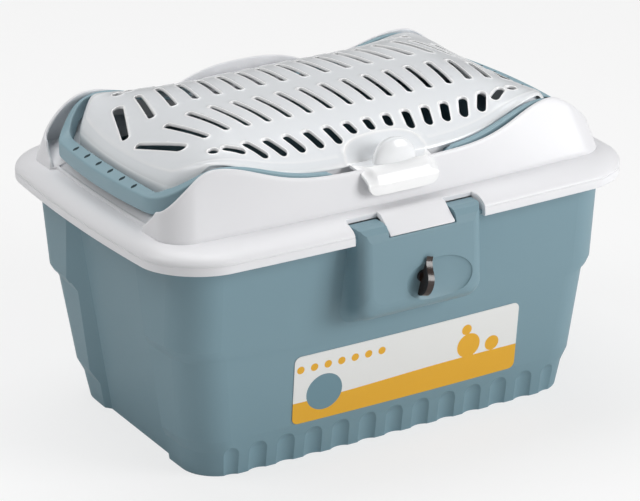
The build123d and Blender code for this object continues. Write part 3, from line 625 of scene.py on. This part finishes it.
def inside_outline(points, outline):
    """Whether points lie in a closed outline, by counting its sides that a ray crosses."""
    hits = np.zeros(len(points), dtype=int)
    nxt = np.roll(outline, -1, axis=0)
    for part in np.array_split(np.arange(len(outline)), 12):
        a, b = outline[None, part], nxt[None, part]
        p = points[:, None]
        spans = (a[..., 1] > p[..., 1]) != (b[..., 1] > p[..., 1])
        rise = np.where(np.abs(b[..., 1] - a[..., 1]) < 1e-9, 1e-9, b[..., 1] - a[..., 1])
        meets = a[..., 0] + (p[..., 1] - a[..., 1]) * (b[..., 0] - a[..., 0]) / rise
        hits += (spans & (p[..., 0] < meets)).sum(axis=1)
    return hits % 2 == 1


def painted_light_share(made, share):
    """Stores a share of painted light, from 0 to 1, for the material to read: low for the grey painted shade
    of thin skin, high for the white painted light of thick beads and edges.
    """
    stored = made.data.attributes.new("painted_light_share", "FLOAT", "POINT")
    stored.data.foreach_set("value", np.ravel(share).astype("f"))


def milky(name, painted_shade_grey, painted_light_white):
    """Milky polypropylene with painted shade and light: thin skin is painted grey for the dark cabin seen
    through it, and thick beads and edges are painted whiter.  A clear gloss on top picks up the lamps."""
    material = moulded(name, painted_light_white, painted_light_white, 0.24, 1.4, 0.015)
    place = add(material, "ShaderNodeTexCoord", {}).outputs["Object"]
    cloud = add(material, "ShaderNodeTexNoise", {"Vector": place, "Scale": 22.0, "Detail": 2.0})
    uneven = add(material, "ShaderNodeMapRange", {
        "Value": cloud.outputs["Fac"], "From Min": 0.3, "From Max": 0.7, "To Min": -0.06, "To Max": 0.06})
    stored = add(material, "ShaderNodeAttribute", {"attribute_name": "painted_light_share"})
    total = add(material, "ShaderNodeMath", {
        "use_clamp": True, 0: stored.outputs["Fac"], 1: uneven.outputs["Result"]})
    shade = add(material, "ShaderNodeMix", {
        "data_type": "RGBA", 0: total.outputs[0], 6: linear(painted_shade_grey), 7: linear(painted_light_white)})
    feed(material.node_tree.nodes["Principled BSDF"], {
        "Base Color": shade.outputs[2], "Coat Weight": 0.35, "Coat Roughness": 0.06})
    return material


door_points, door_faces, door_painted_light = door_panel()
# The grey is painted shade of thin skin, and the white is painted light on beads and edges.
milky_polypropylene = milky("milky_translucent_polypropylene", "#eceff2", "#ffffff")
door_skin = piece("door_panel", door_points, door_faces, milky_polypropylene,
                  "grille_door", crease=62)
painted_light_share(door_skin, door_painted_light)


tab_half, tab_low, tab_round, tab_root, tab_root_z = 31.0, 196.3, 7.0, -100.5, 214.2


def tab_sheet():
    """Pull tab: a sheet that runs forward from the door's edge, folds over the lid's edge along a
    line that draws back to both feet of the arch, slopes out to a knee and drops straight down.
    Its sides narrow to the knee and its bottom corners are rounded."""
    u = np.sin(np.linspace(-np.pi / 2, np.pi / 2, 61))[:, None]
    back = eased(np.clip((np.abs(u) - 0.7) / 0.3, 0, 1))
    fold_y, fold_z = -117.8 + 11.5 * back, 214.9 - 0.7 * back
    knee_y, knee_z = -126.2 + 0.4 * back, 205.6 + 0.4 * back
    steps = np.linspace(0, 1, 9)[None, :]
    roof_y = tab_root + (fold_y + 1.2 - tab_root) * steps
    roof_z = tab_root_z + (fold_z - 0.25 - tab_root_z) * steps
    slope = np.linspace(0.1, 0.9, 9)[None, :]
    slope_y = fold_y + (knee_y - fold_y) * slope - 1.1 * np.sin(np.pi * slope)
    slope_z = fold_z + (knee_z - fold_z) * slope + 1.3 * np.sin(np.pi * slope)
    drop = np.linspace(0, 1, 12)[None, :] ** 0.75
    drop_y = knee_y - 0.5 + 0 * drop - 0.4 * np.minimum(drop * 5, 1)
    drop_z = knee_z - 1.4 + (tab_low - knee_z + 1.4) * drop
    y = np.concatenate([roof_y, fold_y, slope_y, drop_y], axis=1)
    z = np.concatenate([roof_z, fold_z, slope_z, drop_z], axis=1)
    half = np.concatenate([np.full(10, tab_half), tab_half - 2.6 * slope[0], 28.2 + 0 * drop[0]])[None, :]
    low = np.clip(drop_z - tab_low, 0, tab_round)
    half = np.broadcast_to(half, z.shape).copy()
    half[:, -drop.size:] -= tab_round - np.sqrt(np.maximum(tab_round ** 2 - (tab_round - low) ** 2, 0))
    # Painted light and shade on the tab: its roof is painted grey, and the fold and the front that drops down
    # are painted bright white.
    white = np.concatenate([np.full(8, 0.1), [0.6, 1.0], np.full(9, 0.72), [0.9], np.full(11, 1.0)])
    return np.stack([u * half, y, z], axis=-1), np.broadcast_to(white, z.shape)


thumb_y, thumb_z, thumb_radius, thumb_rise, thumb_sink = -114.2, 214.6, 16.8, 17.0, -12


def thumb_dome():
    """Half-dome of the thumb rest: a ball cut level at its foot and pressed flat at the front."""
    lift = np.radians(np.linspace(thumb_sink, 90, 24))[:, None]
    turn = np.linspace(0, 2 * np.pi, 97)[:-1][None, :]
    flat = thumb_radius * np.cos(lift)
    depth = np.where(np.sin(turn) < 0, 0.27, 0.8)
    return np.stack([flat * np.cos(turn), thumb_y + flat * np.sin(turn) * depth,
                     thumb_z + thumb_rise * np.sin(lift) + 0 * turn], axis=-1)


def barrel(radius, start, stop, edge=0.4):
    """Round bar between two points, with softened ends: rows of circles along its axis."""
    start, stop = np.array(start, float), np.array(stop, float)
    axis = (stop - start) / np.linalg.norm(stop - start)
    side = np.cross(axis, (0.0, 0.0, 1.0) if abs(axis[2]) < 0.9 else (1.0, 0.0, 0.0))
    side /= np.linalg.norm(side)
    up = np.cross(axis, side)
    turn = np.linspace(0, 2 * np.pi, 41)[:-1]
    ring = np.cos(turn)[:, None] * side + np.sin(turn)[:, None] * up
    size = np.array([0.0, radius - edge, radius - 0.3 * edge, radius])
    size = np.concatenate([size, size[::-1]])
    run = np.linalg.norm(stop - start)
    shift = np.array([0.0, 0.0, 0.3 * edge, edge, run - edge, run - 0.3 * edge, run, run])
    return start + shift[:, None, None] * axis + size[:, None, None] * ring[None]


def finish_with(made, **modifiers):
    """Adds modifiers by kind, with their settings."""
    for kind, settings in modifiers.items():
        added = made.modifiers.new(kind.lower(), kind)
        for name, value in settings.items():
            setattr(added, name, value)


tab_points, tab_painted_light = tab_sheet()
pull_tab = piece("pull_tab", tab_points, quads(*tab_points.shape[:2]), milky_polypropylene,
                 "grille_door")
painted_light_share(pull_tab, tab_painted_light)
finish_with(pull_tab, SOLIDIFY={"thickness": 0.0021, "offset": -1.0},
            BEVEL={"width": 0.0006, "segments": 2, "limit_method": "ANGLE"})
dome_points = thumb_dome()
dome_faces = quads(*dome_points.shape[:2], close_columns=True).tolist()
dome_foot = np.arange(dome_points.shape[1])[::-1].tolist()
thumb_rest = piece("thumb_rest", dome_points, dome_faces + [dome_foot], milky_polypropylene,
                   "grille_door", crease=60)
# Painted shade on the thumb rest: above 60 degrees its top is painted a little greyer than its sides.
dome_lift = np.linspace(thumb_sink, 90, 24)[:, None] + np.zeros((1, 96))
painted_light_share(thumb_rest, np.where(dome_lift > 60, 0.3, 0.45))


def weld(made):
    """Merges the points that meet at a pole, so that the shell is closed there."""
    merged = bmesh.new()
    merged.from_mesh(made.data)
    bmesh.ops.remove_doubles(merged, verts=merged.verts, dist=1e-7)
    merged.to_mesh(made.data)
    merged.free()


def end_skirt(side):
    """Turned-down end of the door: the outline's end columns, from the skin to the lower edge."""
    keep = np.flatnonzero(out_x * side > 0.35)
    rows = []
    for inset, height in ((0.4, -0.75), (0.05, -1.5), (0.02, -2.4), (0.02, 202.6), (0.5, 202.0), (1.5, 202.0),
                          (2.0, 202.6), (2.0, -1.5)):
        x, y = (v[keep] for v in plan(*door_plan, inset=inset))
        skin = door_height(x, y) - shoulder(x, y, inset)
        rows.append(np.stack([x, y, skin + height if height < 0 else height + 0 * x], axis=-1))
    return np.stack(rows)


weld(thumb_rest)
neck_line = np.array([(100.5, 217.6), (103.0, 218.6), (105.0, 219.8), (107.0, 220.2)])
for side, end in ((-1, "left"), (1, "right")):
    skirt_points = end_skirt(side)
    shell = quads(*skirt_points.shape[:2], close_rows=True).tolist() + end_caps(*skirt_points.shape[:2])
    skirt = piece(f"door_skirt_{end}", skirt_points, [face[::-1] for face in shell],
                  milky_polypropylene, "grille_door", crease=50)
    # The turned-down ends get a middle share of painted light, so they are whiter than the thin skin.
    painted_light_share(skirt, np.full(skirt_points.shape[:2], 0.6))
    knuckle = barrel(3.4, (side * hinge_x - knuckle_half, hinge_y, hinge_z),
                     (side * hinge_x + knuckle_half, hinge_y, hinge_z))
    weld(piece(f"door_knuckle_{end}", knuckle, quads(*knuckle.shape[:2], close_columns=True),
               milky_polypropylene, "grille_door", crease=50))
    x = np.linspace(-knuckle_half, knuckle_half, 7)[None, :] + side * hinge_x + 0 * neck_line[:, :1]
    neck_points = np.stack([x, neck_line[:, 0:1] + 0 * x, neck_line[:, 1:2] + 0 * x], axis=-1)
    neck = piece(f"door_neck_{end}", neck_points, quads(*neck_points.shape[:2]),
                 milky_polypropylene, "grille_door")
    finish_with(neck, SOLIDIFY={"thickness": 0.0022, "offset": 1.0})
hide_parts("grille_door")

# The hinge pins: cut lengths of drawn steel wire, pressed into lugs on the tub and on the lid.
# Drawing leaves a bright metal with fine streaks, which blur its highlights unevenly.

drawn_steel = surface("drawn_steel_wire", {"Metallic": 1.0, "Base Color": linear("#b9b9b6")})
pin_place = add(drawn_steel, "ShaderNodeTexCoord", {}).outputs["Object"]
draw_marks = add(drawn_steel, "ShaderNodeTexNoise", {"Vector": pin_place, "Scale": 900.0})   # 1.1 mm apart
draw_blur = add(drawn_steel, "ShaderNodeMapRange",
                {"Value": draw_marks.outputs["Fac"], "To Min": 0.22, "To Max": 0.36})
feed(drawn_steel.node_tree.nodes["Principled BSDF"], {"Roughness": draw_blur.outputs["Result"]})
dress("door_hinge_pins", drawn_steel)
dress("lid_hinge_pins", drawn_steel)

# The handles: two U-shaped mouldings in a paler teal, hollow under the grip, that fold down into
# the lid's channel.  Each turns on two studs snapped into the lid.  The real grips have six
# leaf-shaped slits, which are drawn here as thin dark inlays.

pivot_x, pivot_z, arm_end = 51.0, 207.0, 6.0
handle_plan = (178.6, 112.0, 26.0, 8.0, 20.0)
grip_plan = (164.9, 106.7, 22.0, 3.5, 16.5)
grip_half, corner_rise, corner_run = 64.0, 14.0, 24.0
under_from, under_run = 147.0, 10.5             # where the underside passes from arm to grip
handle_round, trench_half, trench_roof = 1.6, 58, 2.6


def handle_top(x, y):
    """Upper face: the arm's line, held down to the level grip between the corners."""
    past = np.maximum(np.abs(y) - grip_half, 0)
    ramp = np.where(np.abs(x) > 148, grip_top + corner_rise * (past / corner_run) ** 1.8, 400)
    top = np.minimum(arm_top(x), ramp)
    ends = pivot_z + np.sqrt(np.maximum(arm_end ** 2 - (pivot_x - x) ** 2, 0))
    return np.where(x < pivot_x, ends, top)


def handle_low(x):
    """Lower face: a grip's height under the arm's line, then level."""
    low = arm_top(x) - (grip_top - grip_low)
    blend = np.clip((x - under_from) / under_run, 0, 1)
    arm_low = arm_top(under_from) - (grip_top - grip_low)
    low = np.where(x > under_from, arm_low * (1 - blend) + grip_low * blend, low)
    ends = pivot_z - np.sqrt(np.maximum(arm_end ** 2 - (pivot_x - x) ** 2, 0))
    return np.where(x < pivot_x, ends, low)


def handle_surface():
    """Rounded section carried round the right-hand half of the ring, with a trench below the grip.
    A point's place is a share of the way out and of the way up, plus a quarter circle's reach."""
    outer_x, outer_y = plan(*handle_plan)
    inner_x, inner_y = plan(*grip_plan)
    keep = np.flatnonzero((outer_x > 45.0) & (column_x > 0))
    keep = keep[np.argsort(np.arctan2(outer_y[keep], outer_x[keep] - 45.0 + 1e-6))]
    outer = np.column_stack([outer_x[keep], outer_y[keep]])
    inner = np.column_stack([inner_x[keep], inner_y[keep]])
    width = np.linalg.norm(outer - inner, axis=1)
    round_mm = np.minimum(handle_round, width * 0.4)
    rows = []
    for out, up, first in ((0, 1, 180), (1, 1, 90), (1, 0, 0), (0, 0, 270)):
        for angle in np.radians(first) - np.radians(np.linspace(0, 90, 6)):
            reach_out = np.cos(angle) + (1 if out == 0 else -1)
            reach_up = np.sin(angle) + (1 if up == 0 else -1)
            where = inner + (outer - inner) * (out + reach_out * round_mm / width)[:, None]
            top, low = handle_top(where[:, 0], where[:, 1]), handle_low(where[:, 0])
            height = np.maximum(top - low, 1e-3)
            lift = up + reach_up * np.minimum(round_mm, height * 0.4) / height
            rows.append(np.column_stack([where, low + height * lift]))
        if (out, up) == (1, 0):
            for share, depth in ((0.80, 0.0), (0.78, 1.0), (0.22, 1.0), (0.20, 0.0)):
                where = inner + (outer - inner) * share
                deep = np.where(np.abs(where[:, 1]) < trench_half, depth, 0)
                deep = deep * (grip_top - grip_low - trench_roof)
                rows.append(np.column_stack([where, handle_low(where[:, 0]) + deep]))
    return np.stack(rows)


# A slit: half length, half width, how it lies across the grip, and the pitch along the grip.
slit_half_length, slit_half_width, slit_x, slit_pitch = 4.5, 1.15, 170.8, 18.7
slit_cos, slit_sin = 0.79, 0.61


def slit_points(y):
    """Leaf-shaped slit: two arcs that meet in points, with a fine raised edge and a dark floor."""
    along = np.linspace(-1, 1, 17)
    rows = []
    for grow, height in ((0.35, 0.02), (0.15, 0.1), (0.0, 0.06)):
        half = (slit_half_width + grow) * (1 - along ** 2)
        run = (slit_half_length + grow) * along
        sides = np.concatenate([np.column_stack([run, half]), np.column_stack([run, -half])[-2:0:-1]])
        x = slit_x - slit_cos * sides[:, 0] + slit_sin * sides[:, 1]
        across = y + slit_sin * sides[:, 0] + slit_cos * sides[:, 1]
        rows.append(np.column_stack([x, across, np.full(len(x), grip_top + height)]))
    return np.stack(rows)


# The same plastic as the tub's in a paler shade, from a mould with a finer finish.  The slits'
# material stands for the shade inside them, so it is dark and dull and no finish of the part.
handle_polypropylene = moulded("satin_pale_teal_polypropylene", "#93b0ba", "#8facb7", 0.42, 1.2, 0.04)
slit_shadow = moulded("shadow_in_the_slits", "#22383f", "#1c3037", 0.8, 1.2, 0.02)
right_points = handle_surface()
for side, body in ((1, "handle_right"), (-1, "handle_left")):
    points = right_points * (side, 1, 1)
    faces = quads(*points.shape[:2], close_rows=True).tolist() + end_caps(*points.shape[:2])
    made = piece(f"{body}_bow", points, faces if side < 0 else [face[::-1] for face in faces],
                 handle_polypropylene, body, crease=48)
    for y_side, end in ((-1, "front"), (1, "back")):
        stud = barrel(3.0, (side * pivot_x, y_side * 97.6, pivot_z),
                      (side * pivot_x, y_side * 106.5, pivot_z))
        weld(piece(f"{body}_stud_{end}", stud, quads(*stud.shape[:2], close_columns=True),
                   handle_polypropylene, body, crease=50))
    for place in range(6):
        leaf = slit_points((place - 2.5) * slit_pitch) * (side, 1, 1)
        under, floor = np.arange(leaf.shape[1]), 2 * leaf.shape[1] + np.arange(leaf.shape[1])
        shell = quads(*leaf.shape[:2], close_columns=True).tolist() + [under[::-1].tolist(), floor.tolist()]
        piece(f"{body}_slit_{place + 1}", leaf, shell if side > 0 else [face[::-1] for face in shell],
              slit_shadow, body)
    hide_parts(body)

# The studio: seamless pale paper that lies level and turns up well behind any camera, broad soft
# lamps, and a camera at the photograph's angle.

floor_reach, sweep_start, sweep_radius, sweep_high = 12.0, 9.0, 1.5, 6.0


def sweep_points():
    """Floor and backdrop in one: level, then a quarter of a circle up, then upright."""
    turn = np.linspace(0, np.pi / 2, 24)
    y = sweep_start + sweep_radius * np.concatenate([np.sin(turn), [1.0]])
    y = np.concatenate([[-floor_reach], y])
    z = np.concatenate([[0.0], sweep_radius * (1 - np.cos(turn)), [sweep_high]])
    x = np.linspace(-floor_reach, floor_reach, 9)
    grid_x, grid_y = np.meshgrid(x, y)
    return np.stack([grid_x, grid_y, np.repeat(z[:, None], len(x), axis=1)], axis=-1)


sweep = sweep_points()
sweep_mesh = bpy.data.meshes.new("paper_sweep")
sweep_mesh.from_pydata(sweep.reshape(-1, 3).tolist(), [], quads(*sweep.shape[:2]).tolist())
sweep_mesh.shade_smooth()
paper_sweep = bpy.data.objects.new("paper_sweep", sweep_mesh)
bpy.context.scene.collection.objects.link(paper_sweep)
# Matt paper.  To the camera it is mostly plain white, with a share of its lit side for the shadow.
seamless_paper = surface("seamless_paper", {"Base Color": linear("#f2f2f2"), "Roughness": 0.9})
paper_rays = add(seamless_paper, "ShaderNodeLightPath", {})
paper_white = add(seamless_paper, "ShaderNodeEmission", {"Strength": 1.0})
paper_share = add(seamless_paper, "ShaderNodeMapRange",
                  {"Value": paper_rays.outputs["Is Camera Ray"], "To Min": 0.0, "To Max": 0.7})
paper_mix = add(seamless_paper, "ShaderNodeMixShader", {
    0: paper_share.outputs["Result"], 1: seamless_paper.node_tree.nodes["Principled BSDF"].outputs[0],
    2: paper_white.outputs[0]})
feed(seamless_paper.node_tree.nodes["Material Output"], {"Surface": paper_mix.outputs[0]})
sweep_mesh.materials.append(seamless_paper)


def lamp(name, place, size, power):
    """Square area lamp that faces the carrier."""
    light = bpy.data.lights.new(name, "AREA")
    light.size = size
    light.energy = power
    made = bpy.data.objects.new(name, light)
    made.location = place
    made.rotation_euler = (Vector((0, 0, 0.1)) - Vector(place)).to_track_quat("-Z", "Y").to_euler()
    bpy.context.scene.collection.objects.link(made)


lamp("key_lamp", (1.5, -1.9, 0.95), 1.2, 39)
lamp("left_lamp", (-1.6, 0.6, 2.1), 1.4, 18)
lamp("top_lamp", (0.1, 0.8, 2.5), 1.6, 24)
studio = bpy.data.worlds.new("studio")
studio.use_nodes = True
bpy.context.scene.world = studio
studio.node_tree.nodes["Background"].inputs["Color"].default_value = (1, 1, 1, 1)
studio.node_tree.nodes["Background"].inputs["Strength"].default_value = 0.24

camera = bpy.data.cameras.new("camera")
camera.lens = 168.75
camera.shift_x = 3.4 / 640
camera.shift_y = 0.7 / 640
viewpoint = bpy.data.objects.new("camera", camera)
viewpoint.location = (-1.01053, -1.81601, 0.92356)
viewpoint.rotation_euler = [math.radians(angle) for angle in (68.5815, 1.5916, -29.6809)]
bpy.context.scene.collection.objects.link(viewpoint)
bpy.context.scene.camera = viewpoint
bpy.context.scene.view_settings.view_transform = "Standard"
